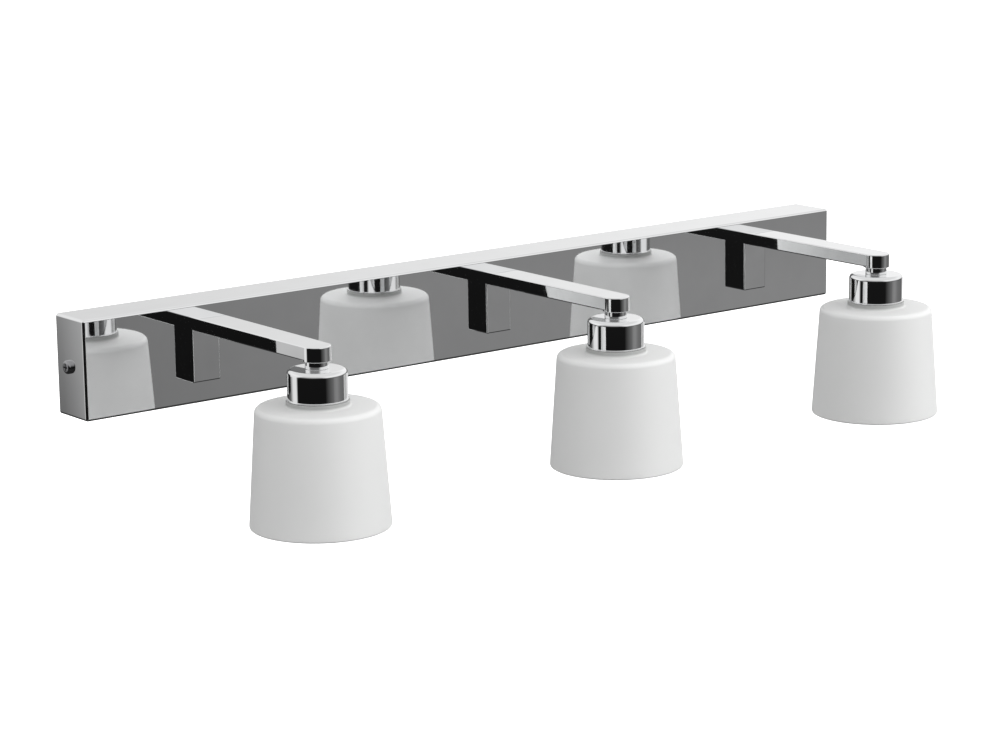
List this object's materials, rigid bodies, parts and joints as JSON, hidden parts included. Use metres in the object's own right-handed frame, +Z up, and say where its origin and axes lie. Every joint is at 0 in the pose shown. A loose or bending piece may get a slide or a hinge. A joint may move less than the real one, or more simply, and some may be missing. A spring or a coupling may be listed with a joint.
{
  "type": "vanity light bar",
  "caption": "Wall-mounted bathroom mirror light: chrome box-section rail, flat cantilever arms and downward opal glass shades under chrome cups.",
  "frame": {"origin": "on the wall plane, at the middle of the rail's length and height", "axes": "+X along the rail, -Y from the wall into the room, +Z up"},
  "size_m": [0.6052, 0.1993, 0.1113],
  "materials": {
    "chrome_sheet": "mirror-polished chrome plate on bent sheet",
    "chrome_cast": "polished chrome plate on a casting",
    "chrome_cup": "polished chrome plate on a drawn cup",
    "zinc_steel": "dull zinc-plated steel",
    "screw_steel": "bright nickel-plated screw steel",
    "brass": "plain turned brass",
    "ring_metal": "satin turned aluminium",
    "opal_glass": "matt etched opal glass, opaque white",
    "holder_ceramic": "unglazed steatite",
    "bulb_ceramic": "smooth white ceramic",
    "bulb_glass": "frosted capsule glass",
    "emitter": "yellow phosphor coating",
    "pin_wire": "bright pin wire",
    "white_plastic": "moulded polyamide, slightly glossy",
    "black_rubber": "matt black moulded rubber",
    "live_wire": "brown silicone insulation",
    "neutral_wire": "blue silicone insulation",
    "earth_wire": "green insulation with a yellow stripe"
  },
  "bodies": {
    "root": {"rail_housing": "chrome_sheet", "wall_plate": "zinc_steel", "side_screws": "screw_steel", "clinch_nuts": "zinc_steel", "cable_bush": "black_rubber", "arm_screws": "screw_steel", "arm_washers": "screw_steel", "wire_bushes": "black_rubber", "nipples": "zinc_steel", "nipple_nuts": "brass", "bracket_screws": "screw_steel", "lamp_contacts": "brass", "terminal_block": "white_plastic", "terminal_clamps": "brass", "terminal_screws": "screw_steel", "block_screw": "screw_steel", "earth_stud": "screw_steel", "earth_tag": "brass", "earth_nut": "screw_steel", "earth_lead": "earth_wire", "live_wires": "live_wire", "neutral_wires": "neutral_wire", "arm_left": "chrome_cast", "neck_sleeve_left": "chrome_cast", "lamp_cup_left": "chrome_cup", "holder_bracket_left": "zinc_steel", "lampholder_left": "holder_ceramic", "holder_skirt_left": "zinc_steel", "arm_centre": "chrome_cast", "neck_sleeve_centre": "chrome_cast", "lamp_cup_centre": "chrome_cup", "holder_bracket_centre": "zinc_steel", "lampholder_centre": "holder_ceramic", "holder_skirt_centre": "zinc_steel", "arm_right": "chrome_cast", "neck_sleeve_right": "chrome_cast", "lamp_cup_right": "chrome_cup", "holder_bracket_right": "zinc_steel", "lampholder_right": "holder_ceramic", "holder_skirt_right": "zinc_steel"},
    "shade_left_body": {"shade_left": "opal_glass"},
    "ring_left_body": {"shade_ring_left": "ring_metal"},
    "bulb_left_body": {"bulb_base_left": "bulb_ceramic", "bulb_glass_left": "bulb_glass", "bulb_emitter_left": "emitter", "bulb_pins_left": "pin_wire"},
    "shade_centre_body": {"shade_centre": "opal_glass"},
    "ring_centre_body": {"shade_ring_centre": "ring_metal"},
    "bulb_centre_body": {"bulb_base_centre": "bulb_ceramic", "bulb_glass_centre": "bulb_glass", "bulb_emitter_centre": "emitter", "bulb_pins_centre": "pin_wire"},
    "shade_right_body": {"shade_right": "opal_glass"},
    "ring_right_body": {"shade_ring_right": "ring_metal"},
    "bulb_right_body": {"bulb_base_right": "bulb_ceramic", "bulb_glass_right": "bulb_glass", "bulb_emitter_right": "emitter", "bulb_pins_right": "pin_wire"}
  },
  "joints": [
    {"name": "shade_left_drop", "type": "slide", "parent": "root", "child": "shade_left_body", "axis": [0, 0, -1], "range_m": [0, 0.009]},
    {"name": "ring_left_unscrew", "type": "hinge", "parent": "shade_left_body", "child": "ring_left_body", "pos_m": [-0.222, -0.158, -0.0126], "axis": [0, 0, -1], "range_deg": [0, 1620]},
    {"name": "bulb_left_pull", "type": "slide", "parent": "root", "child": "bulb_left_body", "axis": [0, 0, -1], "range_m": [0, 0.078]},
    {"name": "shade_centre_drop", "type": "slide", "parent": "root", "child": "shade_centre_body", "axis": [0, 0, -1], "range_m": [0, 0.009]},
    {"name": "ring_centre_unscrew", "type": "hinge", "parent": "shade_centre_body", "child": "ring_centre_body", "pos_m": [0, -0.158, -0.0126], "axis": [0, 0, -1], "range_deg": [0, 1620]},
    {"name": "bulb_centre_pull", "type": "slide", "parent": "root", "child": "bulb_centre_body", "axis": [0, 0, -1], "range_m": [0, 0.078]},
    {"name": "shade_right_drop", "type": "slide", "parent": "root", "child": "shade_right_body", "axis": [0, 0, -1], "range_m": [0, 0.009]},
    {"name": "ring_right_unscrew", "type": "hinge", "parent": "shade_right_body", "child": "ring_right_body", "pos_m": [0.222, -0.158, -0.0126], "axis": [0, 0, -1], "range_deg": [0, 1620]},
    {"name": "bulb_right_pull", "type": "slide", "parent": "root", "child": "bulb_right_body", "axis": [0, 0, -1], "range_m": [0, 0.078]}
  ],
  "couplings": [
    {"joint": "ring_left_unscrew", "follows": "shade_left_drop", "rad_per_m": 3141.6},
    {"joint": "ring_centre_unscrew", "follows": "shade_centre_drop", "rad_per_m": 3141.6},
    {"joint": "ring_right_unscrew", "follows": "shade_right_drop", "rad_per_m": 3141.6}
  ]
}
